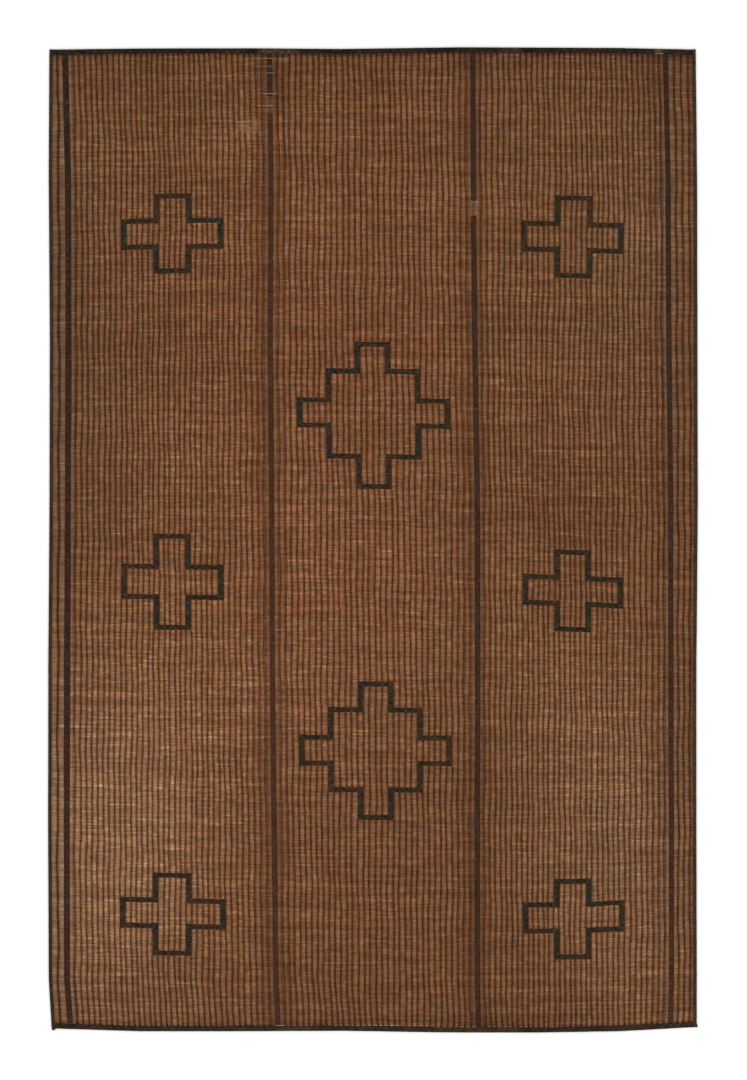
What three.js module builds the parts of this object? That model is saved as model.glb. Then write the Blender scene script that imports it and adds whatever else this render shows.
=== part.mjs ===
// A flat woven mat: fine reeds across the width, narrow leather thongs along the length, four wide
// leather bands, outlined plus crosses and stepped crosses in leather strip, and folded leather
// bindings on all four edges. Millimetres, +Z up. The mat lies flat on the plane z = 0 with its
// length along Y, and the origin is the centre of its outline.

import * as THREE from 'three';

// Thicknesses and clearances
const SHEET = 2.6;
const RIB_HEIGHT = 0.7;
const LEATHER = 1.2;
const STROKE_LEATHER = 1.1;
const CLEARANCE = 0.3;

// Widths
const RIB_WIDTH = 6;
const BAND_WIDTHS = { left: 17, innerLeft: 13.5, innerRight: 14, right: 13.5 };
const UPRIGHT_WIDTH = 17;
const CROSSBAR_WIDTH = 12.5;
const SIDE_FOLD = 10;
const TOP_FOLD = 14;
const BOTTOM_FOLD = 16;
const FOLD_BEVEL = 0.8;

// The rim rises onto the lower leaf of the bindings and is back on the ground this far in.
const RIM_RISE = LEATHER + CLEARANCE;
const RIM_RAMP_END = 34;
const BINDING_HEIGHT = 2 * RIM_RISE + SHEET;
const EDGE_INSET = LEATHER + CLEARANCE;
const FOLD_MARGIN = 1.5;

// Both long edges and the middles of the four bands, one row for each height up the mat
const LENGTHWISE = [
  { y: 1404, leftEdge: -924, left: -879, innerLeft: -296, innerRight: 285, right: 835, rightEdge: 922 },
  { y: 1027, leftEdge: -926, left: -870, innerLeft: -291, innerRight: 287, right: 843, rightEdge: 926 },
  { y: 570, leftEdge: -923, left: -869, innerLeft: -293, innerRight: 291, right: 845, rightEdge: 927 },
  { y: 113, leftEdge: -924, left: -871, innerLeft: -289, innerRight: 298, right: 850, rightEdge: 928 },
  { y: -344, leftEdge: -927, left: -873, innerLeft: -287, innerRight: 299, right: 851, rightEdge: 924 },
  { y: -800, leftEdge: -928, left: -874, innerLeft: -282, innerRight: 298, right: 852, rightEdge: 924 },
  { y: -1257, leftEdge: -926, left: -873, innerLeft: -277, innerRight: 298, right: 852, rightEdge: 925 },
  { y: -1403, leftEdge: -917, left: -863, innerLeft: -270, innerRight: 301, right: 849, rightEdge: 925 },
];

// How far the thongs in the middle of each panel are pushed right
const LEANS = [
  { y: 1027, left: 0, middle: 0, right: 8 },
  { y: 113, left: 0, middle: 0, right: -4 },
  { y: -344, left: -1, middle: 0, right: -6 },
  { y: -1257, left: -5, middle: 0, right: -3 },
];

// Both short edges, one row for each place across the mat
const CROSSWISE = [
  { x: -924, topEdge: 1400, bottomEdge: -1395 },
  { x: -664, topEdge: 1403, bottomEdge: -1403 },
  { x: -321, topEdge: 1404, bottomEdge: -1403 },
  { x: -93, topEdge: 1402, bottomEdge: -1402 },
  { x: 250, topEdge: 1407, bottomEdge: -1407 },
  { x: 478, topEdge: 1406, bottomEdge: -1407 },
  { x: 707, topEdge: 1405, bottomEdge: -1403 },
  { x: 927, topEdge: 1400, bottomEdge: -1391 },
];

// How far the reeds rise above a level line, or sag below it, one row for each height up the mat
const REED_DRIFT = [
  { y: 1404, leftEdge: 0, leftMotif: 0, middle: 0, rightMotif: 0, rightEdge: 0 },
  { y: 867, leftEdge: -2, leftMotif: 6, middle: 9, rightMotif: -4, rightEdge: -16 },
  { y: 356, leftEdge: 1, leftMotif: 3, middle: 0, rightMotif: -8, rightEdge: -12 },
  { y: -144, leftEdge: 20, leftMotif: 12, middle: 6, rightMotif: -14, rightEdge: -32 },
  { y: -600, leftEdge: 8, leftMotif: 3, middle: 0, rightMotif: -2, rightEdge: -2 },
  { y: -1074, leftEdge: 14, leftMotif: 6, middle: -9, rightMotif: -6, rightEdge: 11 },
  { y: -1403, leftEdge: 0, leftMotif: 0, middle: 0, rightMotif: 0, rightEdge: 0 },
];
const DRIFT_PLACES = { leftEdge: -925, leftMotif: -575, middle: 5, rightMotif: 575, rightEdge: 925 };

// The thongs of each panel between two bands: the first one's distance from a band's middle, and
// the share of the panel by which they crowd to its middle
const PANELS = {
  left: { from: 'left', to: 'innerLeft', thongs: 35, margin: 23, crowding: 0.006 },
  middle: { from: 'innerLeft', to: 'innerRight', thongs: 33, margin: 22.7, crowding: -0.0015 },
  right: { from: 'innerRight', to: 'right', thongs: 34, margin: 20.6, crowding: 0.0045 },
};
const LEFT_MARGIN_THONGS = [0.51];
const RIGHT_MARGIN_THONGS = [0.278, 0.503, 0.732];
const SPACING_UNEVENNESS = 1.2;
const THONG_WANDER = 1.6;
const WANDER_LENGTH = 1500;

// The outlined motifs: each upright takes the place of the pair of thongs that starts at the number
// given, and each level is the height of a crossbar's middle.
const MOTIFS = {
  plus_left_top: { panel: 'left', first: 9, step: 6, levels: [977, 906, 832, 763] },
  plus_left_middle: { panel: 'left', first: 9, step: 6, levels: [1, -88, -175, -260] },
  plus_left_bottom: { panel: 'left', first: 9, step: 6, levels: [-963, -1035, -1108, -1184] },
  plus_right_top: { panel: 'right', first: 8, step: 6, levels: [979, 905, 832, 759] },
  plus_right_middle: { panel: 'right', first: 8, step: 6, levels: [-23, -95, -169, -244] },
  plus_right_bottom: { panel: 'right', first: 8, step: 6, levels: [-970, -1036, -1111, -1187] },
  stepped_top: { panel: 'middle', first: 4, step: 5, levels: [555, 480, 398, 327, 237, 150] },
  stepped_bottom: { panel: 'middle', first: 4, step: 5, levels: [-414, -487, -565, -638, -712, -789] },
};

// The wide bands: stretches between two heights, null at a short edge
const BANDS = {
  band_left: { line: 'left', from: null, to: null },
  band_inner_left_stub: { line: 'innerLeft', from: null, to: 1268 },
  band_inner_left: { line: 'innerLeft', from: 1217, to: null },
  band_inner_right_stub: { line: 'innerRight', from: null, to: 968 },
  band_inner_right: { line: 'innerRight', from: 925, to: null },
  band_right: { line: 'right', from: null, to: null },
};

// Loose ends of the side bindings at the two bottom corners
const LEFT_END_OVERHANG = 4;
const RIGHT_END_FLARE = 3;
const RIGHT_END_FLARE_LENGTH = 9;

// Straight runs between the rows of a table, level past its ends
function between(rows, key, column, at) {
  const sorted = [...rows].sort((a, b) => a[key] - b[key]);
  const last = sorted.length - 1;
  const clamped = Math.min(Math.max(at, sorted[0][key]), sorted[last][key]);
  const upper = Math.max(1, sorted.findIndex((row) => row[key] >= clamped));
  const a = sorted[upper - 1];
  const b = sorted[upper];
  return a[column] + ((b[column] - a[column]) * (clamped - a[key])) / (b[key] - a[key]);
}

const lineX = (line, y) => between(LENGTHWISE, 'y', line, y);
const topEdge = (x) => between(CROSSWISE, 'x', 'topEdge', x);
const bottomEdge = (x) => between(CROSSWISE, 'x', 'bottomEdge', x);

function reedDrift(x, y) {
  const places = Object.entries(DRIFT_PLACES).map(([name, place]) => ({
    x: place,
    drift: between(REED_DRIFT, 'y', name, y),
  }));
  return between(places, 'x', 'drift', x);
}

// The middle of a panel's thong, counted from 1 at the left. The outer thongs run along the bands,
// and towards the middle of the panel their spacing and run grow a little uneven.
function thongX(panel, number, y) {
  const { from, to, thongs, margin, crowding } = PANELS[panel];
  const start = lineX(from, y) + margin;
  const end = lineX(to, y) - margin;
  const share = (number - 1) / (thongs - 1);
  const crowded = share + crowding * Math.sin(2 * Math.PI * share);
  const spacing = SPACING_UNEVENNESS * Math.sin(2.4 * number + 0.7 * thongs);
  const wander = THONG_WANDER * Math.sin((2 * Math.PI * y) / WANDER_LENGTH + 0.2 * number);
  const unevenness = between(LEANS, 'y', panel, y) + spacing + wander;
  return start + (end - start) * crowded + unevenness * Math.sin(Math.PI * share);
}

function marginThongX(side, share, y) {
  const [from, to] = side === 'left' ? ['leftEdge', 'left'] : ['right', 'rightEdge'];
  return lineX(from, y) + (lineX(to, y) - lineX(from, y)) * share;
}

const pairX = (panel, first, y) => (thongX(panel, first, y) + thongX(panel, first + 1, y)) / 2;

// Every thong's middle at one height, from left to right
function thongLine(y) {
  const inner = Object.entries(PANELS).flatMap(([panel, { thongs }]) =>
    Array.from({ length: thongs }, (_, i) => thongX(panel, i + 1, y)),
  );
  return [
    ...LEFT_MARGIN_THONGS.map((share) => marginThongX('left', share, y)),
    ...inner,
    ...RIGHT_MARGIN_THONGS.map((share) => marginThongX('right', share, y)),
  ];
}

// How far the sheet is off the ground at a distance from an edge whose fold has the given width
function rise(distance, fold) {
  const foot = fold + FOLD_MARGIN;
  const share = (RIM_RAMP_END - distance) / (RIM_RAMP_END - foot);
  return RIM_RISE * Math.min(1, Math.max(0, share));
}

function riseAt(x, y) {
  return Math.max(
    rise(x - lineX('leftEdge', y), SIDE_FOLD),
    rise(lineX('rightEdge', y) - x, SIDE_FOLD),
    rise(topEdge(x) - y, TOP_FOLD),
    rise(y - bottomEdge(x), BOTTOM_FOLD),
  );
}

// A mesh's geometry from points and triangles
function solid(points, triangles) {
  const geometry = new THREE.BufferGeometry();
  geometry.setAttribute('position', new THREE.Float32BufferAttribute(points.flat(), 3));
  geometry.setIndex(triangles.flat());
  geometry.computeVertexNormals();
  return geometry;
}

// A closed strip through equal sections, each a ring of points, with the first section's outline as
// a flat shape for its two ends
function strip(sections, capPoints) {
  const size = sections[0].length;
  const points = sections.flat();
  const triangles = [];
  for (let s = 0; s + 1 < sections.length; s += 1) {
    for (let i = 0; i < size; i += 1) {
      const next = (i + 1) % size;
      const a = s * size + i;
      const b = s * size + next;
      triangles.push([a, a + size, b], [b, a + size, b + size]);
    }
  }
  const cap = THREE.ShapeUtils.triangulateShape(capPoints, []);
  const last = (sections.length - 1) * size;
  for (const [a, b, c] of cap) {
    triangles.push([a, b, c], [last + a, last + c, last + b]);
  }
  return solid(points, triangles);
}

// Turns a solid whose faces point in, so that they point out
function facingOut(geometry) {
  const p = geometry.getAttribute('position');
  const index = geometry.getIndex();
  const corner = [new THREE.Vector3(), new THREE.Vector3(), new THREE.Vector3()];
  let volume = 0;
  for (let t = 0; t < index.count; t += 3) {
    corner.forEach((v, k) => v.fromBufferAttribute(p, index.getX(t + k)));
    volume += corner[0].dot(corner[1].cross(corner[2]));
  }
  if (volume < 0) {
    for (let t = 0; t < index.count; t += 3) {
      const b = index.getX(t + 1);
      index.setX(t + 1, index.getX(t + 2));
      index.setX(t + 2, b);
    }
    geometry.computeVertexNormals();
  }
  return geometry;
}

// Reed field: the woven sheet, with every thong raised in its top face as a rib
const FIELD_ROWS = [
  { near: 'top', offset: EDGE_INSET, rib: 0 },
  { near: 'top', offset: TOP_FOLD + FOLD_MARGIN, rib: 0 },
  { near: 'top', offset: RIM_RAMP_END, rib: 1 },
  ...LENGTHWISE.slice(1, -1).map(({ y }) => ({ near: null, y, rib: 1 })),
  { near: 'bottom', offset: RIM_RAMP_END, rib: 1 },
  { near: 'bottom', offset: BOTTOM_FOLD + FOLD_MARGIN, rib: 0 },
  { near: 'bottom', offset: EDGE_INSET, rib: 0 },
];

function rowY(row, x) {
  if (row.near === 'top') return topEdge(x) - row.offset;
  if (row.near === 'bottom') return bottomEdge(x) + row.offset;
  return row.y;
}

// A row's rim columns: the edge, the fold's foot and the end of the ramp on both sides
function rimXs(y) {
  const offsets = [EDGE_INSET, SIDE_FOLD + FOLD_MARGIN, RIM_RAMP_END];
  return [
    ...offsets.map((offset) => lineX('leftEdge', y) + offset),
    ...offsets.map((offset) => lineX('rightEdge', y) - offset),
  ];
}

function fieldTopRow(row) {
  const y = rowY(row, 0);
  const ribs = thongLine(y).flatMap((x) => [
    { x: x - RIB_WIDTH / 2, lift: 0 },
    { x, lift: row.rib * RIB_HEIGHT },
    { x: x + RIB_WIDTH / 2, lift: 0 },
  ]);
  const columns = [...rimXs(y).map((x) => ({ x, lift: 0 })), ...ribs].sort((a, b) => a.x - b.x);
  return columns.map(({ x, lift }) => [x, rowY(row, x), riseAt(x, rowY(row, x)) + SHEET + lift]);
}

function fieldBottomRow(row) {
  const y = rowY(row, 0);
  const inner = CROSSWISE.slice(1, -1).map(({ x }) => x);
  const columns = [...rimXs(y), ...inner].sort((a, b) => a - b);
  return columns.map((x) => [x, rowY(row, x), riseAt(x, rowY(row, x))]);
}

// Triangles between two lines of points that run the same way, of any two lengths
function ladder(first, second, points) {
  const triangles = [];
  let a = 0;
  let b = 0;
  while (a + 1 < first.length || b + 1 < second.length) {
    const stepFirst =
      b + 1 === second.length ||
      (a + 1 < first.length && points[first[a + 1]][0] <= points[second[b + 1]][0]);
    if (stepFirst) {
      triangles.push([first[a], first[a + 1], second[b]]);
      a += 1;
    } else {
      triangles.push([first[a], second[b + 1], second[b]]);
      b += 1;
    }
  }
  return triangles;
}

function reedField() {
  const tops = FIELD_ROWS.map(fieldTopRow);
  const bottoms = FIELD_ROWS.map(fieldBottomRow);
  const wide = tops[0].length;
  const narrow = bottoms[0].length;
  const points = [...tops.flat(), ...bottoms.flat()];
  const start = tops.length * wide;
  const top = (row, column) => row * wide + column;
  const bottom = (row, column) => start + row * narrow + column;
  const triangles = [];
  for (let row = 0; row + 1 < FIELD_ROWS.length; row += 1) {
    for (let c = 0; c + 1 < wide; c += 1) {
      triangles.push([top(row, c), top(row + 1, c), top(row + 1, c + 1)]);
      triangles.push([top(row, c), top(row + 1, c + 1), top(row, c + 1)]);
    }
    for (let c = 0; c + 1 < narrow; c += 1) {
      triangles.push([bottom(row, c), bottom(row + 1, c + 1), bottom(row + 1, c)]);
      triangles.push([bottom(row, c), bottom(row, c + 1), bottom(row + 1, c + 1)]);
    }
    triangles.push([top(row, 0), bottom(row, 0), bottom(row + 1, 0)]);
    triangles.push([top(row, 0), bottom(row + 1, 0), top(row + 1, 0)]);
    triangles.push([top(row, wide - 1), bottom(row + 1, narrow - 1), bottom(row, narrow - 1)]);
    triangles.push([top(row, wide - 1), top(row + 1, wide - 1), bottom(row + 1, narrow - 1)]);
  }
  const topLine = (row) => Array.from({ length: wide }, (_, c) => top(row, c));
  const bottomLine = (row) => Array.from({ length: narrow }, (_, c) => bottom(row, c));
  const last = FIELD_ROWS.length - 1;
  triangles.push(...ladder(topLine(0), bottomLine(0), points));
  triangles.push(...ladder(topLine(last), bottomLine(last), points).map(([a, b, c]) => [a, c, b]));
  return solid(points, triangles);
}

// A binding's folded section: distance in from the edge, and height
function foldSection(fold) {
  const inner = BINDING_HEIGHT - LEATHER;
  return [
    [FOLD_BEVEL, 0],
    [fold, 0],
    [fold, LEATHER],
    [LEATHER, LEATHER],
    [LEATHER, inner],
    [fold, inner],
    [fold, BINDING_HEIGHT],
    [FOLD_BEVEL, BINDING_HEIGHT],
    [0, BINDING_HEIGHT - FOLD_BEVEL],
    [0, FOLD_BEVEL],
  ];
}

const capOf = (section) => section.map(([a, b]) => new THREE.Vector2(a, b));

function sideBinding(side) {
  const inward = side === 'left' ? 1 : -1;
  const edge = `${side}Edge`;
  const cornerX = lineX(edge, LENGTHWISE[0].y);
  const footX = lineX(edge, LENGTHWISE[LENGTHWISE.length - 1].y);
  const foot = bottomEdge(footX);
  const rows = [
    { y: topEdge(cornerX), x: cornerX },
    ...LENGTHWISE.slice(1, -1).map((row) => ({ y: row.y, x: row[edge] })),
  ];
  if (side === 'left') {
    rows.push({ y: foot - LEFT_END_OVERHANG, x: footX });
  } else {
    rows.push({ y: foot + RIGHT_END_FLARE_LENGTH, x: footX });
    rows.push({ y: foot, x: footX + RIGHT_END_FLARE });
  }
  const section = foldSection(SIDE_FOLD);
  const sections = rows.map(({ x, y }) => section.map(([d, z]) => [x + inward * d, y, z]));
  return facingOut(strip(sections, capOf(section)));
}

function endBinding(edge, fold, inward) {
  const rowEnd = edge === topEdge ? LENGTHWISE[0].y : LENGTHWISE[LENGTHWISE.length - 1].y;
  const from = lineX('leftEdge', rowEnd) + SIDE_FOLD + CLEARANCE + FOLD_MARGIN;
  const to = lineX('rightEdge', rowEnd) - SIDE_FOLD - CLEARANCE - FOLD_MARGIN;
  const xs = [from, ...CROSSWISE.slice(1, -1).map(({ x }) => x), to];
  const section = foldSection(fold);
  const sections = xs.map((x) => section.map(([d, z]) => [x, edge(x) + inward * d, z]));
  return facingOut(strip(sections, capOf(section)));
}

// A wide band: a flat strip that lies on the reeds and follows the rise of the rim
function band({ line, from, to }) {
  const width = BAND_WIDTHS[line];
  const topX = lineX(line, LENGTHWISE[0].y);
  const bottomX = lineX(line, LENGTHWISE[LENGTHWISE.length - 1].y);
  const high = topEdge(topX);
  const low = bottomEdge(bottomX);
  const topStops = [TOP_FOLD + CLEARANCE + LEATHER, RIM_RAMP_END].map((offset) => high - offset);
  const bottomStops = [RIM_RAMP_END, BOTTOM_FOLD + CLEARANCE + LEATHER].map((offset) => low + offset);
  const inside = LENGTHWISE.slice(1, -1).map(({ y }) => y);
  const start = from === null ? topStops : [from];
  const end = to === null ? bottomStops : [to];
  const ys = [...start, ...inside.filter((y) => y < start[start.length - 1] && y > end[0]), ...end];
  const section = [
    [-width / 2, 0],
    [width / 2, 0],
    [width / 2, LEATHER],
    [-width / 2, LEATHER],
  ];
  const sections = ys.map((y) => {
    const x = lineX(line, y);
    const base = riseAt(x, y) + SHEET + CLEARANCE;
    return section.map(([across, up]) => [x + across, y, base + up]);
  });
  return facingOut(strip(sections, capOf(section)));
}

// The corners of a motif's outline, clockwise from the top arm's left corner. Each corner joins an
// upright to a crossbar and says which way is out from each.
function motifCorners({ panel, first, step, levels }) {
  const uprights = levels.length;
  const half = uprights / 2;
  const quarter = Array.from({ length: half }, (_, k) => k);
  const corner = (upright, level, outX, outY) => ({ upright, level, outX, outY });
  const northEast = quarter.flatMap((k) => {
    const outer = corner(half + k, k, 1, 1);
    return k === 0 ? [outer] : [corner(half + k - 1, k, 1, 1), outer];
  });
  const southEast = northEast
    .map((c) => corner(c.upright, uprights - 1 - c.level, c.outX, -c.outY))
    .reverse();
  const west = [...northEast, ...southEast]
    .map((c) => corner(uprights - 1 - c.upright, c.level, -c.outX, c.outY))
    .reverse();
  return [...northEast, ...southEast, ...west].map((c) => {
    const level = levels[c.level];
    const x = pairX(panel, first + step * c.upright, level);
    return { x, y: level + reedDrift(x, level), outX: c.outX, outY: c.outY };
  });
}

function motif(shape) {
  const low = SHEET + RIB_HEIGHT + CLEARANCE;
  const high = low + STROKE_LEATHER;
  const corners = motifCorners(shape);
  const ring = (sign, z) =>
    corners.map(({ x, y, outX, outY }) => [
      x + (sign * outX * UPRIGHT_WIDTH) / 2,
      y + (sign * outY * CROSSBAR_WIDTH) / 2,
      z,
    ]);
  const loops = [ring(1, low), ring(-1, low), ring(-1, high), ring(1, high)];
  const count = corners.length;
  const triangles = [];
  for (let loop = 0; loop < loops.length; loop += 1) {
    const nextLoop = (loop + 1) % loops.length;
    for (let i = 0; i < count; i += 1) {
      const next = (i + 1) % count;
      const [a, b] = [loop * count + i, loop * count + next];
      const [c, d] = [nextLoop * count + i, nextLoop * count + next];
      triangles.push([a, b, c], [b, d, c]);
    }
  }
  return facingOut(solid(loops.flat(), triangles));
}

// Finishes
const reed = () => new THREE.MeshStandardMaterial({ color: 0x825a3c, roughness: 0.75, metalness: 0 });
const bandLeather = () =>
  new THREE.MeshStandardMaterial({ color: 0x352b29, roughness: 0.6, metalness: 0 });
const motifLeather = () =>
  new THREE.MeshStandardMaterial({ color: 0x332a26, roughness: 0.62, metalness: 0 });
const bindingLeather = () =>
  new THREE.MeshStandardMaterial({ color: 0x211e17, roughness: 0.58, metalness: 0 });

const mat = new THREE.Group();

function addPiece(name, geometry, material) {
  const mesh = new THREE.Mesh(geometry, material);
  mesh.name = name;
  mat.add(mesh);
}

addPiece('reed_field', facingOut(reedField()), reed());
addPiece('binding_left', sideBinding('left'), bindingLeather());
addPiece('binding_right', sideBinding('right'), bindingLeather());
addPiece('binding_top', endBinding(topEdge, TOP_FOLD, -1), bindingLeather());
addPiece('binding_bottom', endBinding(bottomEdge, BOTTOM_FOLD, 1), bindingLeather());
for (const [name, stretch] of Object.entries(BANDS)) {
  addPiece(name, band(stretch), bandLeather());
}
for (const [name, shape] of Object.entries(MOTIFS)) {
  addPiece(name, motif(shape), motifLeather());
}

export default mat;
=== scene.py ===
"""A flat woven mat: fine reeds across the width and narrow leather thongs along the length.

Four wide leather bands, outlined crosses in leather strip and stitching, and folded leather
bindings lie on the weave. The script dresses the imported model, so every piece is in its frame.
"""

import math

import bpy
import numpy as np
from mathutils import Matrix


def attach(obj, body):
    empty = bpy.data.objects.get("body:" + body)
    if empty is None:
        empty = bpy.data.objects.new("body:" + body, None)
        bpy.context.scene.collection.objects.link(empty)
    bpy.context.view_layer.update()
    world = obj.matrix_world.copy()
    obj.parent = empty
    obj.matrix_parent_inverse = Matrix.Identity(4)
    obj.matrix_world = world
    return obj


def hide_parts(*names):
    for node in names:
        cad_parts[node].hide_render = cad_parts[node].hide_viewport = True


bl_info = {
    "name": "Woven reed and leather mat",
    "version": (1, 0, 0),
    "blender": (4, 5, 0),
    "location": "View3D > Sidebar > Mat",
    "description": "Builds a reed mat with leather thongs, bands, outlined crosses and bindings",
    "category": "Add Mesh",
}

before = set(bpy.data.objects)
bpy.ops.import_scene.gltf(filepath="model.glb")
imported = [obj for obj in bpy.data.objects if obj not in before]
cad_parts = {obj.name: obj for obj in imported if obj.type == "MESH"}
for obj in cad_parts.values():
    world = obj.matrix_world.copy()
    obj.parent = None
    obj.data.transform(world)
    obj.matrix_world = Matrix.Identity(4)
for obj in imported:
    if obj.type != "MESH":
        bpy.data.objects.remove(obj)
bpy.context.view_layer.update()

# Lengths in the tables below are millimetres, as in the part's source
MM = 0.001
SEED = 11

# Places of the edges and the wide bands, from the foot of the mat to its head
HEIGHTS = [-1403, -1257, -800, -344, 113, 570, 1027, 1404]
LINES = {
    "left_edge": [-917, -926, -928, -927, -924, -923, -926, -924],
    "band_left": [-863, -873, -874, -873, -871, -869, -870, -879],
    "band_inner_left": [-270, -277, -282, -287, -289, -293, -291, -296],
    "band_inner_right": [301, 298, 298, 299, 298, 291, 287, 285],
    "band_right": [849, 852, 852, 851, 850, 845, 843, 835],
    "right_edge": [925, 925, 924, 924, 928, 927, 926, 922],
}
PLACES = [-924, -664, -321, -93, 250, 478, 707, 927]
ENDS = {
    "top": [1400, 1403, 1404, 1402, 1407, 1406, 1405, 1400],
    "bottom": [-1395, -1403, -1403, -1402, -1407, -1407, -1403, -1391],
}

# How far the reeds rise above a level line, for five places across the mat
DRIFT_HEIGHTS = [-1403, -1074, -600, -144, 356, 867, 1404]
DRIFT_PLACES = [-925, -575, 5, 575, 925]
DRIFTS = [
    [0, 14, 8, 20, 1, -2, 0],
    [0, 6, 3, 12, 3, 6, 0],
    [0, -9, 0, 6, 0, 9, 0],
    [0, -6, -2, -14, -8, -4, 0],
    [0, 11, -2, -32, -12, -16, 0],
]

# Thongs of the three panels, and how far those in a panel's middle are pushed right
LEAN_HEIGHTS = [-1257, -344, 113, 1027]
PANELS = {
    "left": {
        "start": "band_left",
        "end": "band_inner_left",
        "thongs": 35,
        "margin": 23.0,
        "crowding": 0.006,
        "lean": [-5, -1, 0, 0],
        "before": 2,
    },
    "middle": {
        "start": "band_inner_left",
        "end": "band_inner_right",
        "thongs": 33,
        "margin": 22.7,
        "crowding": -0.0015,
        "lean": [0, 0, 0, 0],
        "before": 38,
    },
    "right": {
        "start": "band_inner_right",
        "end": "band_right",
        "thongs": 34,
        "margin": 20.6,
        "crowding": 0.0045,
        "lean": [-3, -6, -4, 8],
        "before": 72,
    },
}
SPACING_UNEVENNESS = 1.2
THONG_WANDER = 1.6
WANDER_LENGTH = 1500
# Small bends of the thongs: size, length, and how much a thong differs from the next one
WOBBLES = [(1.5, 390, 0.25, 0.7), (0.8, 168, 0.3, 0.7), (0.35, 71, 1.5, 3.0)]
# Thongs pushed aside: by how much, between which warps, over what half height and where
NUDGES = [(-4.0, 72, 107, 190, 400)]

# Warps are counted across the mat: edges, bands and thongs together
LAST_WARP = 111
LINE_WARPS = {
    0: "left_edge",
    2: "band_left",
    38: "band_inner_left",
    72: "band_inner_right",
    107: "band_right",
    LAST_WARP: "right_edge",
}
MARGIN_WARPS = {
    1: ("left_edge", "band_left", 0.51),
    108: ("band_right", "right_edge", 0.278),
    109: ("band_right", "right_edge", 0.503),
    110: ("band_right", "right_edge", 0.732),
}
SHEETS = {
    "left": {"from": 0, "to": 38},
    "middle": {"from": 38, "to": 72},
    "right": {"from": 72, "to": LAST_WARP},
}

# Motifs: each upright takes the place of the pair of thongs that starts at the number given
MOTIFS = {
    "plus_left_top": ("left", 9, 6, [977, 906, 832, 763]),
    "plus_left_middle": ("left", 9, 6, [1, -88, -175, -260]),
    "plus_left_bottom": ("left", 9, 6, [-963, -1035, -1108, -1184]),
    "plus_right_top": ("right", 8, 6, [979, 905, 832, 759]),
    "plus_right_middle": ("right", 8, 6, [-23, -95, -169, -244]),
    "plus_right_bottom": ("right", 8, 6, [-970, -1036, -1111, -1187]),
    "stepped_top": ("middle", 4, 5, [555, 480, 398, 327, 237, 150]),
    "stepped_bottom": ("middle", 4, 5, [-414, -487, -565, -638, -712, -789]),
}

# Bands: their line, width and ends, with None at a binding, and wear at the foot and head
BANDS = {
    "band_left": ("band_left", 17.6, None, None, 0.2, 0.0),
    "band_inner_left_stub": ("band_inner_left", 14.4, 1268, None, 0.1, 0.1),
    "band_inner_left": ("band_inner_left", 14.4, None, 1217, 0.45, 0.35),
    "band_inner_right_stub": ("band_inner_right", 14.6, 968, None, 0.22, 0.14),
    "band_inner_right": ("band_inner_right", 14.6, None, 925, 0.24, 0.22),
    "band_right": ("band_right", 15.0, None, None, 0.35, 0.08),
}

# Heights of the layers above the ground, in millimetres
RIM_RISE = 1.1
RIM_RAMP_END = 34
FOLDS = {"side": 10, "top": 15.5, "bottom": 16}
FOLD_MARGIN = 1.5
BINDING_HEIGHT = 5.6
LEATHER = 1.2
REED_TOP = [(0.0, 1.95), (0.27, 2.6), (0.73, 2.6)]
REED_UNDER = [(0.0, 1.15), (0.5, 0.35)]
THONG_OVER = 3.1
THONG_UNDER = 0.12
THONG_HIDDEN = 1.55
BAND_FOOT = 2.75
BAND_CROWN = 4.1
STROKE_CROWN = 4.7
WEAVE_MAP = "Weave"


def srgb(red, green, blue):
    """A screen colour of three numbers up to 255 as Blender's linear one."""
    parts = [value / 255 for value in (red, green, blue)]
    return tuple(p / 12.92 if p <= 0.04045 else ((p + 0.055) / 1.055) ** 2.4 for p in parts)


def size_setting(name, description, default, low, high):
    """A size that a user may change, from its values in millimetres."""
    return bpy.props.FloatProperty(
        name=name,
        description=description,
        default=default * MM,
        min=low * MM,
        max=high * MM,
        precision=4,
        unit="LENGTH",
    )


def colour_setting(name, description, default):
    """A colour that a user may change."""
    return bpy.props.FloatVectorProperty(
        name=name,
        description=description,
        default=default,
        min=0,
        max=1,
        subtype="COLOR",
    )


class MatSettings(bpy.types.PropertyGroup):
    """Sizes and colours of the mat that a user may want to change."""

    reed_width: size_setting("Reed width", "Width of one reed across the weave", 2.5, 2.3, 6)
    thong_width: size_setting("Thong width", "Width of the narrow leather thongs", 5.4, 2, 8)
    stitch_spacing: size_setting(
        "Stitch spacing", "Distance between the upright stitches of a crossbar", 3.2, 2, 8
    )
    upright_width: size_setting(
        "Upright width", "Width of a motif's upright leather strips", 17, 8, 24
    )
    reed_colour: colour_setting("Reed", "Colour of the reeds", srgb(121, 85, 60))
    thong_colour: colour_setting(
        "Thong", "Colour of the narrow leather thongs", srgb(75, 35, 5)
    )
    band_colour: colour_setting("Band", "Colour of the wide leather bands", srgb(43, 28, 18))
    motif_colour: colour_setting("Motif", "Colour of the outlined crosses", srgb(47, 36, 23))
    binding_colour: colour_setting(
        "Binding", "Colour of the folded leather bindings", srgb(23, 20, 14)
    )


# Places on the mat

def line_x(name, y):
    """The place across the mat of an edge or a band."""
    return np.interp(y, HEIGHTS, LINES[name])


def end_y(name, x):
    """The place of the mat's top or bottom edge."""
    return np.interp(x, PLACES, ENDS[name])


def smooth(value):
    share = np.clip(value, 0, 1)
    return share * share * (3 - 2 * share)


def stretch(place, low, high, fade):
    """1 between two places along a line, falling to 0 at both over a distance."""
    return smooth((place - low) / fade) * smooth((high - place) / fade)


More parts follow.
